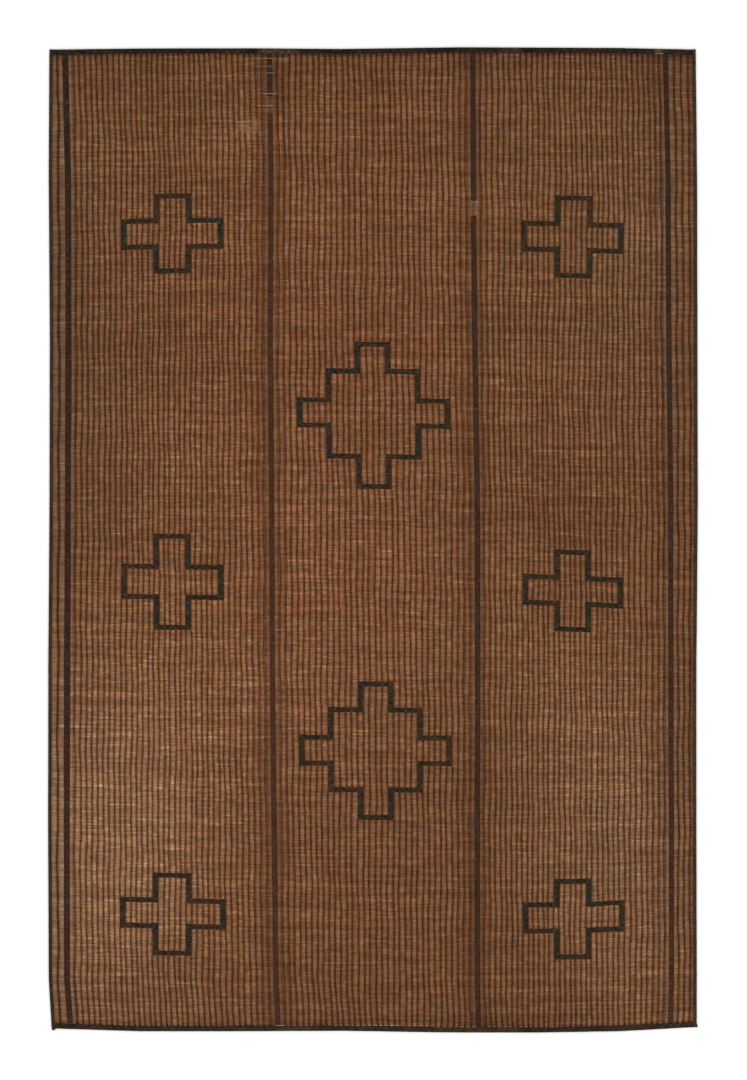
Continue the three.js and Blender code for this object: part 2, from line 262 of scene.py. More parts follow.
def reed_drift(x, y):
    """How far the reeds are above a level line at a place, or below it."""
    columns = [np.interp(y, DRIFT_HEIGHTS, drift) for drift in DRIFTS]
    result = np.zeros(np.broadcast(x, y).shape)
    for k in range(len(DRIFT_PLACES) - 1):
        low = DRIFT_PLACES[k]
        high = DRIFT_PLACES[k + 1]
        share = np.clip((x - low) / (high - low), 0, 1)
        start = columns[0] if k == 0 else 0
        result = result + start + (columns[k + 1] - columns[k]) * share
    return result


def thong_x(panel, number, y):
    """The middle of a panel's thong, counted from 1 at the left."""
    data = PANELS[panel]
    start = line_x(data["start"], y) + data["margin"]
    end = line_x(data["end"], y) - data["margin"]
    share = (number - 1) / (data["thongs"] - 1)
    crowded = share + data["crowding"] * np.sin(2 * np.pi * share)
    spacing = SPACING_UNEVENNESS * np.sin(2.4 * number + 0.7 * data["thongs"])
    wander = THONG_WANDER * np.sin(2 * np.pi * y / WANDER_LENGTH + 0.2 * number)
    lean = np.interp(y, LEAN_HEIGHTS, data["lean"])
    return start + (end - start) * crowded + (lean + spacing + wander) * np.sin(np.pi * share)


def wobble(warp, y):
    """Small bends of one thong, which its neighbours share in part."""
    result = sum(
        size * np.sin(2 * np.pi * y / length + turn * warp + spread * math.sin(1.7 * warp))
        for size, length, turn, spread in WOBBLES
    )
    for middle, low, high, half_height, level in NUDGES:
        if low < warp < high:
            share = math.sin(math.pi * (warp - low) / (high - low))
            result = result + middle * share * np.exp(-(((y - level) / half_height) ** 2))
    return result


def warp_x(warp, y):
    """The middle of an edge, a band or a thong, counted from 0 at the left edge."""
    if warp in LINE_WARPS:
        return line_x(LINE_WARPS[warp], y)
    if warp in MARGIN_WARPS:
        start, end, share = MARGIN_WARPS[warp]
        straight = line_x(start, y) + (line_x(end, y) - line_x(start, y)) * share
        return straight + wobble(warp, y)
    for panel, data in PANELS.items():
        if data["before"] < warp <= data["before"] + data["thongs"]:
            return thong_x(panel, warp - data["before"], y) + wobble(warp, y)
    raise ValueError(f"there is no warp {warp}")


def pair_x(panel, first, y):
    """The middle between a panel's thong and the next one."""
    return (thong_x(panel, first, y) + thong_x(panel, first + 1, y)) / 2


def rise_at(x, y):
    """How far the weave is off the ground: it climbs onto the lower leaf of the bindings."""
    result = np.zeros(np.broadcast(x, y).shape)
    edges = [
        (x - line_x("left_edge", y), FOLDS["side"]),
        (line_x("right_edge", y) - x, FOLDS["side"]),
        (end_y("top", x) - y, FOLDS["top"]),
        (y - end_y("bottom", x), FOLDS["bottom"]),
    ]
    for distance, fold in edges:
        foot = fold + FOLD_MARGIN
        share = np.clip((RIM_RAMP_END - distance) / (RIM_RAMP_END - foot), 0, 1)
        result = np.maximum(result, RIM_RISE * share)
    return result


# Darkening of the rows next to the top and bottom bindings
EDGE_DARK_REACH = 28.0
EDGE_DARK_WIDTH = 13.0
TOP_EDGE_DARKENING = 0.42
BOTTOM_EDGE_DARKENING = 0.2
BASE_TONE = 1.045
AREA_FALL = 1.2
# Broad areas that are faded or darkened: middle, half width, half height and by how much
FADED = [
    (-720, -850, 330, 480, 0.5),
    (-500, -330, 330, 260, 0.2),
    (-60, -60, 360, 330, 0.12),
    (-100, -480, 330, 200, 0.08),
    (680, -650, 300, 420, 0.3),
    (800, -1250, 260, 240, 0.16),
    (-420, 150, 260, 280, 0.12),
    (-330, 860, 260, 200, 0.07),
    (-100, 1420, 1400, 200, -0.1),
    (800, 1250, 300, 200, -0.06),
    (-900, 620, 140, 330, -0.14),
    (300, -860, 200, 420, -0.1),
    (-80, -1290, 300, 200, -0.08),
    (330, -1330, 220, 220, -0.08),
    (560, -1330, 200, 200, -0.08),
    (660, 60, 260, 160, -0.08),
    (-620, -1240, 160, 160, -0.12),
    (872, 0, 75, 1700, -0.14),
    (-873, 0, 40, 1700, -0.08),
    (-820, 1000, 170, 420, -0.07),
    (0, 1400, 1300, 70, -0.08),
    (650, 1390, 330, 80, -0.1),
    (0, -1400, 360, 60, -0.12),
    (850, 0, 26, 1700, -0.07),
    (850, -640, 120, 260, -0.2),
    (850, -1300, 120, 90, -0.14),
    (325, -1384, 120, 10, -0.25),
    (820, 200, 110, 700, -0.03),
    (-830, 120, 110, 500, -0.04),
]
# Broad areas where the reeds are greyer, or redder where the last number is below zero
GREYED = [
    (660, -900, 330, 560, 0.75),
    (-740, -880, 300, 520, 1.2),
    (850, 0, 50, 1700, 0.3),
    (720, 880, 270, 600, 0.5),
    (-860, 760, 240, 900, 0.5),
    (-20, 1050, 420, 400, -0.35),
    (-60, 500, 420, 330, -0.45),
    (-60, -100, 420, 300, -0.45),
    (-60, -1000, 300, 500, -0.3),
    (-480, 700, 260, 500, -0.25),
    (-480, -400, 260, 700, -0.2),
]


def areas(table, x, y):
    """The sum of a table's soft round areas at each place."""
    result = np.zeros(len(x))
    for middle_x, middle_y, half_width, half_height, amount in table:
        away = ((x - middle_x) / half_width) ** 2 + ((y - middle_y) / half_height) ** 2
        result = result + amount * np.exp(-AREA_FALL * away)
    return result


def fading(x, y):
    """How light the weave is: the rows next to the top and bottom bindings are darker."""
    under_top = smooth((EDGE_DARK_REACH - end_y("top", x) + y) / EDGE_DARK_WIDTH)
    over_bottom = smooth((EDGE_DARK_REACH - y + end_y("bottom", x)) / EDGE_DARK_WIDTH)
    tone = BASE_TONE + areas(FADED, x, y)
    return tone - TOP_EDGE_DARKENING * under_top - BOTTOM_EDGE_DARKENING * over_bottom


# Reeds: the levels of their edges, from the foot of the mat to its head

REED_SPAN = 1402.0
REED_INSET = 3.0
PULL_LENGTH = 150.0
REED_UNEVENNESS = 0.22
REED_LIFT = 0.16
# Warps near the mat's edges that the sheets bend at, besides evenly spaced ones
CLOSE_WARPS = (1, 2, 107, 108, 109)
SHEET_COLUMNS = 10


def reed_levels(width):
    """The level of each reed's lower edge, and of the last one's upper edge."""
    count = int(round(2 * REED_SPAN / width))
    random = np.random.RandomState(SEED)
    widths = 1 + REED_UNEVENNESS * (2 * random.rand(count) - 1)
    edges = np.concatenate([[0], np.cumsum(widths)])
    return -REED_SPAN + 2 * REED_SPAN * edges / edges[-1]


def reed_y(x, level):
    """The height of a reed at a place across the mat. The last reeds bend to follow the ends."""
    top = (end_y("top", x) - REED_INSET - REED_SPAN) * smooth(
        (level - REED_SPAN + PULL_LENGTH) / PULL_LENGTH
    )
    bottom = (end_y("bottom", x) + REED_INSET + REED_SPAN) * smooth(
        (PULL_LENGTH - REED_SPAN - level) / PULL_LENGTH
    )
    return level + reed_drift(x, level) + top + bottom


# Mesh building

def add_piece(name, points, faces, material, weave=None, marks=None):
    """A smooth piece from points in millimetres, with a weave map and marks for each point."""
    mesh = bpy.data.meshes.new(name)
    mesh.from_pydata((np.asarray(points, float) * MM).tolist(), [], faces)
    if weave is not None:
        layer = mesh.uv_layers.new(name=WEAVE_MAP)
        corners = np.empty(len(mesh.loops), np.int32)
        mesh.loops.foreach_get("vertex_index", corners)
        layer.uv.foreach_set("vector", np.asarray(weave, np.float32)[corners].ravel())
    for mark, values in (marks or {}).items():
        attribute = mesh.attributes.new(mark, "FLOAT", "POINT")
        attribute.data.foreach_set("value", np.asarray(values, np.float32))
    mesh.materials.append(material)
    mesh.shade_smooth()
    mesh.validate()
    piece = bpy.data.objects.new(name, mesh)
    bpy.context.scene.collection.objects.link(piece)
    return piece


def settle(piece, slot, *nodes):
    """Puts a piece on the mat's one body, in the place of its CAD nodes."""
    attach(piece, "root")
    if nodes:
        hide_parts(*nodes)
    return piece


def grid_faces(rows, columns, start=0, flip=False):
    corner = start + np.arange(rows - 1)[:, None] * columns + np.arange(columns - 1)[None, :]
    corner = corner.ravel()
    quads = np.stack([corner, corner + 1, corner + 1 + columns, corner + columns], 1)
    return (quads[:, ::-1] if flip else quads).tolist()


def loft(rings):
    """Points and faces of a closed strip through rings of points, with flat ends."""
    rings = np.asarray(rings, float)
    count, size = rings.shape[:2]
    start = np.arange(count - 1)[:, None] * size
    here = np.arange(size)[None, :]
    after = (here + 1) % size
    quads = np.stack([start + here, start + after, start + size + after, start + size + here], 2)
    faces = quads.reshape(-1, 4).tolist()
    faces.append(list(range(size))[::-1])
    faces.append(list(range((count - 1) * size, count * size)))
    return rings.reshape(-1, 3), faces


class Parts:
    """Gathers the points, faces and maps of many small parts into one piece."""

    def __init__(self):
        self.points = []
        self.faces = []
        self.weave = []
        self.marks = {}
        self.count = 0

    def add(self, points, faces, weave=None, **marks):
        points = np.asarray(points, float)
        self.faces.extend([[i + self.count for i in face] for face in faces])
        self.points.append(points)
        self.weave.append(np.zeros((len(points), 2)) if weave is None else weave)
        for name, values in marks.items():
            values = np.broadcast_to(np.asarray(values, float), (len(points),))
            self.marks.setdefault(name, []).append(values)
        self.count += len(points)

    def piece(self, name, material):
        marks = {mark: np.concatenate(values) for mark, values in self.marks.items()}
        points = np.concatenate(self.points)
        return add_piece(name, points, self.faces, material, np.concatenate(self.weave), marks)


# Shader nodes written as Python expressions

class Value:
    """A number that changes over a surface. Arithmetic on it adds Math nodes."""

    def __init__(self, finish, socket):
        self.finish = finish
        self.socket = socket

    def __add__(self, other):
        return self.finish.maths("ADD", self, other)

    __radd__ = __add__

    def __sub__(self, other):
        return self.finish.maths("SUBTRACT", self, other)

    def __rsub__(self, other):
        return self.finish.maths("SUBTRACT", other, self)

    def __mul__(self, other):
        return self.finish.maths("MULTIPLY", self, other)

    __rmul__ = __mul__

    def floor(self):
        return self.finish.maths("FLOOR", self, 0)

    def fraction(self):
        return self.finish.maths("FRACT", self, 0)

    def lesser(self, other):
        return self.finish.maths("MINIMUM", self, other)

    def greater(self, other):
        return self.finish.maths("MAXIMUM", self, other)

    def step(self, low, high):
        """0 below low, 1 above high and a smooth climb between them."""
        return self.finish.node(
            "ShaderNodeMapRange",
            {"interpolation_type": "SMOOTHSTEP"},
            {"Value": self, "From Min": low, "From Max": high},
        )

    def between(self, low, high, soft):
        """1 between two values and 0 outside them, with soft edges."""
        return self.step(low - soft, low + soft) * (1 - self.step(high - soft, high + soft))


class Finish:
    """Builds the nodes of one material round its shader."""

    def __init__(self, name):
        self.material = bpy.data.materials.new(name)
        self.material.use_nodes = True
        self.tree = self.material.node_tree
        self.shader = self.tree.nodes["Principled BSDF"]

    def plug(self, socket, value):
        if isinstance(value, Value):
            self.tree.links.new(value.socket, socket)
        elif socket.type == "RGBA":
            socket.default_value = (*tuple(value)[:3], 1)
        else:
            socket.default_value = value

    def node(self, kind, settings=None, values=None, output=0):
        made = self.tree.nodes.new(kind)
        for name, setting in (settings or {}).items():
            setattr(made, name, setting)
        for socket, value in (values or {}).items():
            self.plug(made.inputs[socket], value)
        return Value(self, made.outputs[output])

    def maths(self, operation, first, second):
        return self.node("ShaderNodeMath", {"operation": operation}, {0: first, 1: second})

    def vector(self, x, y, z=0.0):
        return self.node("ShaderNodeCombineXYZ", None, {"X": x, "Y": y, "Z": z})

    def noise(self, place, scale=1.0, detail=0.0, roughness=0.5):
        values = {"Vector": place, "Scale": scale, "Detail": detail, "Roughness": roughness}
        return self.node("ShaderNodeTexNoise", {"noise_dimensions": "3D"}, values)

    def chance(self, x, y):
        """A number from 0 to 1 that is different for each pair of whole numbers."""
        settings = {"noise_dimensions": "2D"}
        return self.node("ShaderNodeTexWhiteNoise", settings, {"Vector": self.vector(x, y)})

    def mix(self, first, second, share):
        settings = {"data_type": "RGBA", "blend_type": "MIX"}
        return self.node("ShaderNodeMix", settings, {0: share, 6: first, 7: second}, output=2)

    def scaled(self, colour, by):
        values = {"Vector": colour, "Scale": by}
        return self.node("ShaderNodeVectorMath", {"operation": "SCALE"}, values)

    def mark(self, name):
        return self.node("ShaderNodeAttribute", {"attribute_name": name}, None, output="Fac")

    def place(self):
        return self.node("ShaderNodeTexCoord", None, None, output="Object")

    def weave(self):
        """The count across the warps and the count of reeds up the mat."""
        both = self.node("ShaderNodeUVMap", {"uv_map": WEAVE_MAP})
        split = self.node("ShaderNodeSeparateXYZ", None, {"Vector": both})
        return split, Value(self, split.socket.node.outputs["Y"])

    def bump(self, height, strength, distance):
        values = {"Height": height, "Strength": strength, "Distance": distance}
        return self.node("ShaderNodeBump", None, values)

    def done(self, colour, roughness, normal=None, shine=0.35):
        self.plug(self.shader.inputs["Base Color"], colour)
        self.plug(self.shader.inputs["Roughness"], roughness)
        self.shader.inputs["Specular IOR Level"].default_value = shine
        if normal is not None:
            self.plug(self.shader.inputs["Normal"], normal)
        return self.material


REED_OCHRE = srgb(122, 89, 52)
REED_RED = srgb(128, 78, 52)
REED_GREY = srgb(121, 92, 68)
REED_PALE = srgb(176, 143, 112)
# Painted shade: the dark brown that the reeds take on beside the thongs and bands
THONG_SIDE_SHADE = srgb(80, 36, 8)
# Reeds of another colour: from and to warp, from and to level, colour and amount
TINTED = [
    (38.2, 40.0, 1062, 1213, srgb(148, 84, 40), 0.42),
    (38.2, 41.0, 1213, 1400, srgb(104, 62, 44), 0.4),
    (37.2, 38.8, 1217, 1268, srgb(118, 80, 48), 0.5),
    (33.2, 37.6, 1150, 1210, srgb(136, 98, 62), 0.35),
    (2.3, 2.9, -1400, 1400, srgb(116, 88, 72), 0.35),
    (2.2, 3.0, 300, 352, srgb(138, 98, 56), 0.45),
    (71.6, 72.4, 924, 969, srgb(120, 92, 62), 0.6),
    (72.1, 73.1, -700, 400, srgb(118, 82, 64), 0.4),
    (110.1, 111.0, -1364, -1350, srgb(168, 92, 50), 0.6),
    (98.0, 106.5, 835, 930, srgb(150, 112, 86), 0.35),
]


def reed_finish(settings, levels_count):
    """Reeds that change from row to row and between the thongs, with painted shade beside them."""
    finish = Finish("woven_reed")
    across, along = finish.weave()
    cell = across * 0.85
    reed = along.floor()

    def clouds(up, shift=0.0, detail=0.0):
        """Clouds about as wide as the gap between two thongs, longer for a smaller up."""
        return finish.noise(finish.vector(cell, along * up, shift), detail=detail)

    # Tones, from broad patches to single reeds
    patch = finish.noise(finish.vector(across * 0.08, along * 0.006), detail=2.0)
    column = clouds(0.018, 0.0, 2.0)
    short = clouds(0.10, 4.0, 2.0)
    dash = clouds(0.42, 14.0, 1.0)
    run = finish.noise(finish.vector(across * 0.22, reed * 7.9, 9.0))
    each = finish.noise(finish.vector(cell, reed * 5.3, 17.0), detail=1.0)
    tone = 1 + (patch - 0.5) * 0.35 + (column - 0.5) * 0.4 + (short - 0.5) * 1.1
    tone = tone + row_tone(finish, across, along) + (dash - 0.5) * 0.85 + (each - 0.5) * 0.85
    tone = tone.greater(0.79) * 0.985

    # Colours: ochre, redder and greyer reeds, tinted places and pale ones
    fade = finish.mark("fade")
    grey_area = finish.mark("grey")
    ochre = clouds(0.03, 2.0).step(0.45, 0.75)
    red = clouds(0.04, 6.0).step(0.45, 0.75)
    grey = clouds(0.05, 12.0).step(0.5, 0.76)
    colour = finish.mix(settings.reed_colour, REED_OCHRE, ochre * 0.6)
    colour = finish.mix(colour, REED_RED, red * 0.4 + (0 - grey_area).step(0.0, 0.8) * 0.6)
    colour = finish.mix(colour, REED_GREY, grey * 0.4 + grey_area.step(0.0, 1.0) * 0.9)
    per_level = levels_count / (2 * REED_SPAN)
    for first, last, low, high, tint, amount in TINTED:
        foot = (low + REED_SPAN) * per_level
        head = (high + REED_SPAN) * per_level
        inside = across.between(first, last, 0.1) * along.between(foot, head, 1)
        colour = finish.mix(colour, tint, inside * amount)
    light = dash.step(0.55, 0.74) * 0.16 + run.step(0.58, 0.82) * 0.34
    light = light * (0.5 + (fade - 0.9).step(0.0, 0.5) * 0.85)
    colour = finish.mix(colour, REED_PALE, light)

    # Painted shade beside the thongs and bands, where the reeds would bulge between them, and
    # painted shade between the reeds
    side = across.fraction()
    clear_of_thong_shade = side.lesser(1 - side).step(0.04, 0.36)
    round_ = along.fraction()
    hollow = round_.lesser(1 - round_).step(0.0, 0.25)
    tone = tone * (0.85 + clear_of_thong_shade * 0.15) * (0.74 + hollow * 0.26) * fade
    colour = finish.mix(colour, THONG_SIDE_SHADE, (1 - clear_of_thong_shade) * 0.45)
    fibre = finish.noise(finish.vector(across * 1.5, along * 7.0, 3.0), detail=2.0)
    normal = finish.bump(fibre, 0.35, 0.0002)
    return finish.done(finish.scaled(colour, tone), 0.6 + each * 0.2, normal, shine=0.05)


def row_tone(finish, across, along):
    """Rows of the weave that are lighter or darker for a hand's breadth or more."""
    fine = finish.noise(finish.vector(across * 0.06, along * 0.38, 21.0), detail=1.0)
    short = finish.noise(finish.vector(across * 0.22, along * 0.5, 45.0), detail=1.0)
    wide = finish.noise(finish.vector(across * 0.02, along * 0.13, 33.0), detail=1.0)
    return (fine - 0.5) * 1.05 + (short - 0.5) * 1.0 + (wide - 0.5) * 0.75


THONG_RED = srgb(87, 38, 6)
THONG_BLACK = srgb(31, 23, 22)


def thong_finish(settings):
    """Narrow thongs that are lighter or darker in stretches, with black dye where marked."""
    finish = Finish("narrow_thong")
    across, along = finish.weave()
    warp = (across + 0.5).floor()
    length = finish.noise(finish.vector(warp * 7.7, along * 0.03), detail=2.0)
    crossing = finish.chance(warp, (along * 0.5).floor())
    bead = finish.noise(finish.vector(warp * 5.1, along * 0.35, 8.0), detail=1.0)
    red = finish.noise(finish.vector(warp * 3.1, along * 0.02, 5.0)).step(0.42, 0.68)
    colour = finish.mix(settings.thong_colour, THONG_RED, red * 0.5)
    colour = finish.mix(colour, THONG_BLACK, finish.mark("dye"))
    tone = 1 + (length - 0.5) * 1.5 + (crossing - 0.5) * 0.35 + (bead - 0.5) * 1.4
    tone = (tone + row_tone(finish, across, along) * 1.2).greater(0.6).lesser(1.38)
    tone = tone * finish.mark("fade") * 1.01
    grain = finish.noise(finish.place(), scale=900.0, detail=2.0)
    normal = finish.bump(grain, 0.3, 0.0002)
    return finish.done(finish.scaled(colour, tone), 0.6 + crossing * 0.15, normal, shine=0.04)


STROKE_TINTS = [srgb(40, 38, 24), srgb(41, 36, 31), srgb(54, 38, 26)]
WORN_LEATHER = srgb(96, 54, 34)
WORN_EDGE = srgb(88, 66, 50)


def leather_finish(name, colour, wear, tints, worn=WORN_LEATHER, contrast=1.8):
    """Dyed leather: clouds of other dyes, a grain, and brown where it is rubbed."""
    finish = Finish(name)
    place = finish.place()
    result = colour
    for number, tint in enumerate(tints):
        apart = {"Vector": place, "Location": (number * 3.1, number * 1.7, 0.0)}
        moved = finish.node("ShaderNodeMapping", None, apart)
        share = finish.noise(moved, scale=9.0, detail=2.0).step(0.5, 0.62)
        result = finish.mix(result, tint, share)
    clouds = finish.noise(place, scale=38.0, detail=4.0, roughness=0.6)
    rubbed = finish.noise(place, scale=65.0, detail=3.0, roughness=0.65).step(0.5, 0.85)
    rim = finish.mark("rim")
    result = finish.mix(result, worn, rubbed * wear * (0.35 + rim * 0.65))
    result = finish.mix(result, worn, finish.mark("wear") * 0.8)
    rows = finish.node("ShaderNodeMapping", None, {"Vector": place, "Scale": (90.0, 220.0, 1.0)})
    speck = finish.noise(rows, detail=1.0)
    result = finish.mix(result, worn, speck.step(0.5, 0.85) * (0.3 + wear * 0.4))
    tone = 0.95 + (clouds - 0.5) * (contrast * 0.5) + (speck - 0.5) * contrast
    grain = finish.noise(place, scale=700.0, detail=3.0)
    normal = finish.bump(grain + clouds * 2, 0.35, 0.0003)
    return finish.done(finish.scaled(result, tone), 0.5 + clouds * 0.3, normal, shine=0.05)


def pale_finish():
    """Pale reeds with long streaks."""
    finish = Finish("pale_reed")
    place = finish.place()
    streak = finish.node("ShaderNodeMapping", None, {"Vector": place, "Scale": (40.0, 500.0, 1.0)})
    tone = finish.noise(streak, detail=2.0)
    colour = finish.mix(REED_PALE, REED_OCHRE, tone.step(0.4, 0.7))
    return finish.done(finish.scaled(colour, 0.75 + tone * 0.4), 0.6)


def shared(name, make):
    """A finish that several operators use, made once."""
    return bpy.data.materials.get(name) or make()


def settings_of(context):
    return context.scene.mat_settings


# Strokes of the motifs

UPRIGHT_OVERLAP = 7.2
UPRIGHT_STEP = 2.6
UPRIGHT_UNEVENNESS = 0.35
UPRIGHT_RIDGE = 0.1
CROSSBAR_HEIGHT = 14.4
# How far a crossbar reaches under the uprights beside it
CROSSBAR_TUCK = 0.4
CROSSBAR_POINTS = 12
# The flat strip under a crossbar's stitches: how far it stays inside them, and its top
UNDERLAY_INSET = 1.2
UNDERLAY_TOP = 3.5
STITCH_FOOT = 2.8
STITCH_FILL = 0.98


def motif_strokes(count):
    """Uprights as (number, level, level) and crossbars as (level, number, number)."""
    half = count // 2
    last = count - 1
    uprights = set()
    crossbars = {(0, half - 1, half), (last, half - 1, half)}
    for k in range(half):
        for number in (half + k, half - 1 - k):
            uprights.add((number, k, k + 1))
            uprights.add((number, last - k - 1, last - k))
        if k:
            for level in (k, last - k):
                crossbars.add((level, half + k - 1, half + k))
                crossbars.add((level, half - 1 - k, half - k))
    return sorted(uprights), sorted(crossbars)


def hidden_thongs():
    """Stretches of thongs that a motif takes the place of: warp, lowest and highest level."""
    found = []
    for panel, first, step, levels in MOTIFS.values():
        before = PANELS[panel]["before"]
        uprights, crossbars = motif_strokes(len(levels))
        for number, high, low in uprights:
            pair = before + first + step * number
            low_level = levels[low] - UPRIGHT_OVERLAP
            high_level = levels[high] + UPRIGHT_OVERLAP
            found += [(warp, low_level, high_level) for warp in (pair, pair + 1)]
        for level, start, end in crossbars:
            warps = range(before + first + step * start + 2, before + first + step * end)
            low_level = levels[level] - UPRIGHT_OVERLAP
            high_level = levels[level] + UPRIGHT_OVERLAP
            found += [(warp, low_level, high_level) for warp in warps]
    return found


# Wear that the photograph shows: stretches of warps with blackish dye, and thongs worn away
DYED_THONGS = [
    (1, -1400, 1400, 0.75),
    (39, 1055, 1280, 0.95),
    (40, 1055, 1280, 0.95),
    (39, 1280, 1400, 0.5),
    (40, 1280, 1400, 0.3),
    (73, 900, 1380, 0.5),
    (3, -1400, -1220, 0.8),
    (3, 250, 420, 0.6),
    (106, 900, 1380, 0.7),
    (106, 400, 900, 0.5),
]
MISSING_THONGS = [(33, 1165, 1196), (34, 1158, 1200), (35, 1156, 1203), (36, 1162, 1203)]


class MAT_OT_reeds(bpy.types.Operator):
    """Lays the reeds in three sheets that meet under the inner bands"""

    bl_idname = "mat.reeds"
    bl_label = "Reeds"

    def execute(self, context):
        settings = settings_of(context)
        levels = reed_levels(settings.reed_width / MM)
        material = shared("woven_reed", lambda: reed_finish(settings, len(levels) - 1))
        for name, span in SHEETS.items():
            self.lay(f"reeds_{name}", span, levels, material)
        return {"FINISHED"}

    def lay(self, name, span, levels, material):
        middle = np.linspace(span["from"], span["to"], SHEET_COLUMNS).round().astype(int)
        close = [warp for warp in CLOSE_WARPS if span["from"] < warp < span["to"]]
        warps = sorted(set(middle.tolist() + close))
        count = len(levels) - 1
        random = np.random.RandomState(SEED + 1)
        lift = REED_LIFT * (2 * random.rand(count + 1) - 1)
        sides = []
        for profile in (REED_TOP, REED_UNDER):
            counts = []
            heights = []
            for share, height in profile:
                counts.append(np.arange(count) + share)
                raised = lift[:-1] if 0 < share < 1 and profile is REED_TOP else 0
                heights.append(np.full(count, height) + raised)
            along = np.append(np.stack(counts, 1).ravel(), count)
            height = np.append(np.stack(heights, 1).ravel(), profile[0][1])
            sides.append(self.surface(warps, along, height, levels))
        (top, top_map), (under, under_map) = sides
        rows_top = len(top) // len(warps)
        rows_under = len(under) // len(warps)
        faces = grid_faces(rows_top, len(warps))
        faces += grid_faces(rows_under, len(warps), len(top), flip=True)
        faces += self.walls(len(warps), count, len(top))
        points = np.concatenate([top, under])
        weave = np.concatenate([top_map, under_map])
        x, y = points[:, 0], points[:, 1]
        marks = {"fade": fading(x, y), "grey": areas(GREYED, x, y)}
        piece = add_piece(name, points, faces, material, weave, marks)
        settle(piece, "reed_weave", "reed_field")

    def surface(self, warps, along, height, levels):
        """One side of the sheet: a row for each line along a reed, a column for each warp."""
        level = np.interp(along, np.arange(len(levels)), levels)
        points = np.zeros((len(along), len(warps), 3))
        weave = np.zeros((len(along), len(warps), 2))
        for k, warp in enumerate(warps):
            inset = {0: REED_INSET, LAST_WARP: -REED_INSET}.get(warp, 0)
            guess = warp_x(warp, level) + inset
            y = reed_y(guess, level)
            x = warp_x(warp, y) + inset
            points[:, k] = np.stack([x, y, height + rise_at(x, y)], 1)
            weave[:, k] = np.stack([np.full(len(along), warp), along], 1)
        return points.reshape(-1, 3), weave.reshape(-1, 2)

    def walls(self, columns, count, under):
        """Closes the sheet round its edge."""
        faces = []
        for side in (0, columns - 1):
            for reed in range(count):
                a, b, c, d = [(3 * reed + k) * columns + side for k in range(4)]
                e, f, g = [under + (2 * reed + k) * columns + side for k in range(3)]
                ring = [[a, b, f, e], [b, c, f], [c, d, g, f]]
                faces += [face if side == 0 else face[::-1] for face in ring]
        ends = ((0, 0, False), (3 * count * columns, 2 * count * columns, True))
        for top_row, under_row, flip in ends:
            for k in range(columns - 1):
                a = top_row + k
                b = under + under_row + k
                face = [a, b, b + 1, a + 1]
                faces.append(face[::-1] if flip else face)
        return faces


# A thong's crossings: where each starts and ends along its reed, over it and under it
OVER_REED = (-0.2, 1.2)
UNDER_REED = (0.38, 0.62)
UNDER_WIDTH = 0.85
THONG_LIFT = 0.12
THONG_UNEVENNESS = 0.1
THONG_PITCH = 16
DYE_FADE = 20


class MAT_OT_thongs(bpy.types.Operator):
    """Weaves the narrow thongs over one reed and under the next"""

    bl_idname = "mat.thongs"
    bl_label = "Thongs"

    def execute(self, context):
        settings = settings_of(context)
        material = shared("narrow_thong", lambda: thong_finish(settings))
        levels = reed_levels(settings.reed_width / MM)
        hidden = hidden_thongs()
        for name, span in SHEETS.items():
            parts = Parts()
            for warp in range(span["from"] + 1, span["to"]):
                if warp not in LINE_WARPS:
                    self.weave(parts, warp, levels, settings.thong_width / MM / 2, hidden)
            piece = parts.piece(f"thongs_{name}", material)
            settle(piece, "thong_leather", "reed_field")
        return {"FINISHED"}

    def weave(self, parts, warp, levels, half, hidden):
        count = len(levels) - 1
        reeds = np.arange(count)
        over = (reeds + warp) % 2 == 0
        first = np.where(over, OVER_REED[0], UNDER_REED[0])
        second = np.where(over, OVER_REED[1], UNDER_REED[1])
        along = np.clip(np.stack([reeds + first, reeds + second], 1).ravel(), 0, count)
        above = np.repeat(over, 2)
        level = np.interp(along, np.arange(count + 1), levels)
        random = np.random.RandomState(SEED + 10 + warp)
        lift = np.repeat(THONG_LIFT * (2 * random.rand(count) - 1), 2)
        width = half * (1 + THONG_UNEVENNESS * (2 * np.repeat(random.rand(count), 2) - 1))
        top = np.full(len(along), THONG_OVER)
        for one, low, high in hidden:
            if one == warp:
                top[(level > low) & (level < high)] = THONG_HIDDEN
        centre = warp_x(warp, reed_y(warp_x(warp, level), level))
        sides = []
        for side in (-1, 1):
            x = centre + side * width * np.where(above, 1.0, UNDER_WIDTH)
            y = reed_y(x, level)
            rise = rise_at(x, y)
            high = top + lift + rise
            z = np.where(above, high, THONG_UNDER + rise)
            sides.append(np.stack([x, y, z], 1))
        points = np.stack(sides, 1).reshape(-1, 3)
        faces = grid_faces(len(along), 2)
        for one, low, high in MISSING_THONGS:
            if one == warp:
                gone = (level[:-1] > low) & (level[1:] < high)
                faces = [face for face, away in zip(faces, gone, strict=True) if not away]
        dye = np.zeros(len(along))
        for one, low, high, amount in DYED_THONGS:
            if one == warp:
                dye = np.maximum(dye, amount * stretch(level, low, high, DYE_FADE))
        beside = half / THONG_PITCH
        across = np.tile([warp - beside, warp + beside], len(along))
        weave = np.stack([across, np.repeat(along, 2)], 1)
        fade = fading(points[:, 0], points[:, 1])
        parts.add(points, faces, weave, dye=np.repeat(dye, 2), fade=fade)


BAND_STEP = 8.0
BAND_UNEVENNESS = 0.5
BAND_MARGIN = 1.5
STRIP_PUFF = 0.12
# A strip's section at its edge: distance inwards, share of the strip's height, and rim
STRIP_EDGE = [(0.0, 0.0, 1.0), (0.35, 0.72, 1.0), (1.5, 0.94, 0.6)]


def crowned_section(width, foot, crown):
    """A strip's section from its left foot to its right one: place, height and rim."""
    left = [
        (inset - width / 2, foot + share * (crown - foot), rim)
        for inset, share, rim in STRIP_EDGE
    ]
    right = [(-place, z, rim) for place, z, rim in reversed(left)]
    return [*left, (0.0, crown, 0.0), *right]


